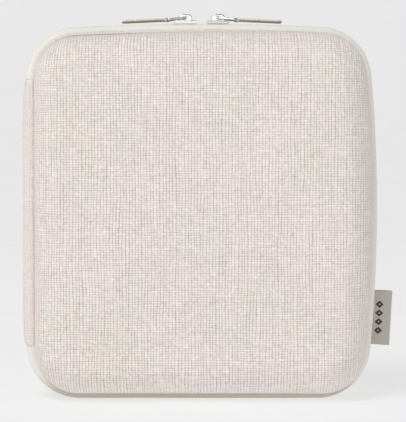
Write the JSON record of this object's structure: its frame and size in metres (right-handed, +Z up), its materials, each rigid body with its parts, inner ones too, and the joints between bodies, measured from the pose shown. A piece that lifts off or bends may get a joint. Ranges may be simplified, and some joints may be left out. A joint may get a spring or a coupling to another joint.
{
  "type": "zip case",
  "caption": "Hard-shell clamshell zip case in linen-look cloth, with rounded corners, a fabric spine, bound rims, paired sliders with leather tabs, and a side label.",
  "frame": {"origin": "midway between the left and right bindings, on the zip's mid-plane, at the bottom of the bindings that the case stands on", "axes": "+X to the right seen from the front, +Z up, and the front faces -Y; the spine is on the -X side"},
  "size_m": [0.1761, 0.058, 0.181],
  "materials": {
    "linen_cover": "matte",
    "foam_core": "matte",
    "lining_cloth": "matte",
    "binding_ribbon": "matte",
    "inner_ribbon": "matte",
    "zip_tape": "matte",
    "zip_coil": "satin",
    "woven_label": "matte",
    "elastic": "matte",
    "patch_leather": "satin",
    "pocket_net": "matte",
    "slider_metal": "polished",
    "spring_steel": "satin",
    "tab_leather": "satin"
  },
  "bodies": {
    "base": {"back_cover": "linen_cover", "back_shell": "foam_core", "back_lining": "lining_cloth", "back_binding": "binding_ribbon", "back_inner_binding": "inner_ribbon", "back_zip_tape": "zip_tape", "back_zip_coil": "zip_coil", "spine_panel": "linen_cover", "spine_lining": "lining_cloth", "side_label": "woven_label", "retaining_band": "elastic", "right_band_patch": "patch_leather", "left_band_patch": "patch_leather"},
    "lid": {"front_cover": "linen_cover", "front_shell": "foam_core", "front_lining": "lining_cloth", "front_binding": "binding_ribbon", "front_inner_binding": "inner_ribbon", "front_zip_tape": "zip_tape", "front_zip_coil": "zip_coil", "mesh_pocket": "pocket_net", "pocket_elastic": "elastic", "pocket_seam_tape": "inner_ribbon"},
    "right_slider": {"right_slider_body": "slider_metal", "right_slider_cap": "slider_metal", "right_lock_spring": "spring_steel"},
    "left_slider": {"left_slider_body": "slider_metal", "left_slider_cap": "slider_metal", "left_lock_spring": "spring_steel"},
    "right_link": {"right_pull_link": "slider_metal"},
    "left_link": {"left_pull_link": "slider_metal"},
    "right_tab": {"right_pull_tab": "tab_leather"},
    "left_tab": {"left_pull_tab": "tab_leather"}
  },
  "joints": [
    {"name": "lid_hinge", "type": "hinge", "parent": "base", "child": "lid", "pos_m": [-0.084, 0, 0.0875], "axis": [0, 0, -1], "range_deg": [0, 180]},
    {"name": "right_slide", "type": "slide", "parent": "base", "child": "right_slider", "axis": [0.9998, 0, -0.0209], "range_m": [0, 0.034]},
    {"name": "right_link_hinge", "type": "hinge", "parent": "right_slider", "child": "right_link", "pos_m": [0.0078, 0, 0.17915], "axis": [0, -1, 0], "range_deg": [0, 90]},
    {"name": "right_tab_hinge", "type": "hinge", "parent": "right_link", "child": "right_tab", "pos_m": [0.01606, 0, 0.1783], "axis": [0, -1, 0], "range_deg": [0, 20]},
    {"name": "left_slide", "type": "slide", "parent": "base", "child": "left_slider", "axis": [-0.9998, 0, -0.0209], "range_m": [0, 0.034]},
    {"name": "left_link_hinge", "type": "hinge", "parent": "left_slider", "child": "left_link", "pos_m": [-0.0078, 0, 0.17915], "axis": [0, 1, 0], "range_deg": [0, 90]},
    {"name": "left_tab_hinge", "type": "hinge", "parent": "left_link", "child": "left_tab", "pos_m": [-0.01606, 0, 0.1783], "axis": [0, 1, 0], "range_deg": [0, 20]}
  ]
}
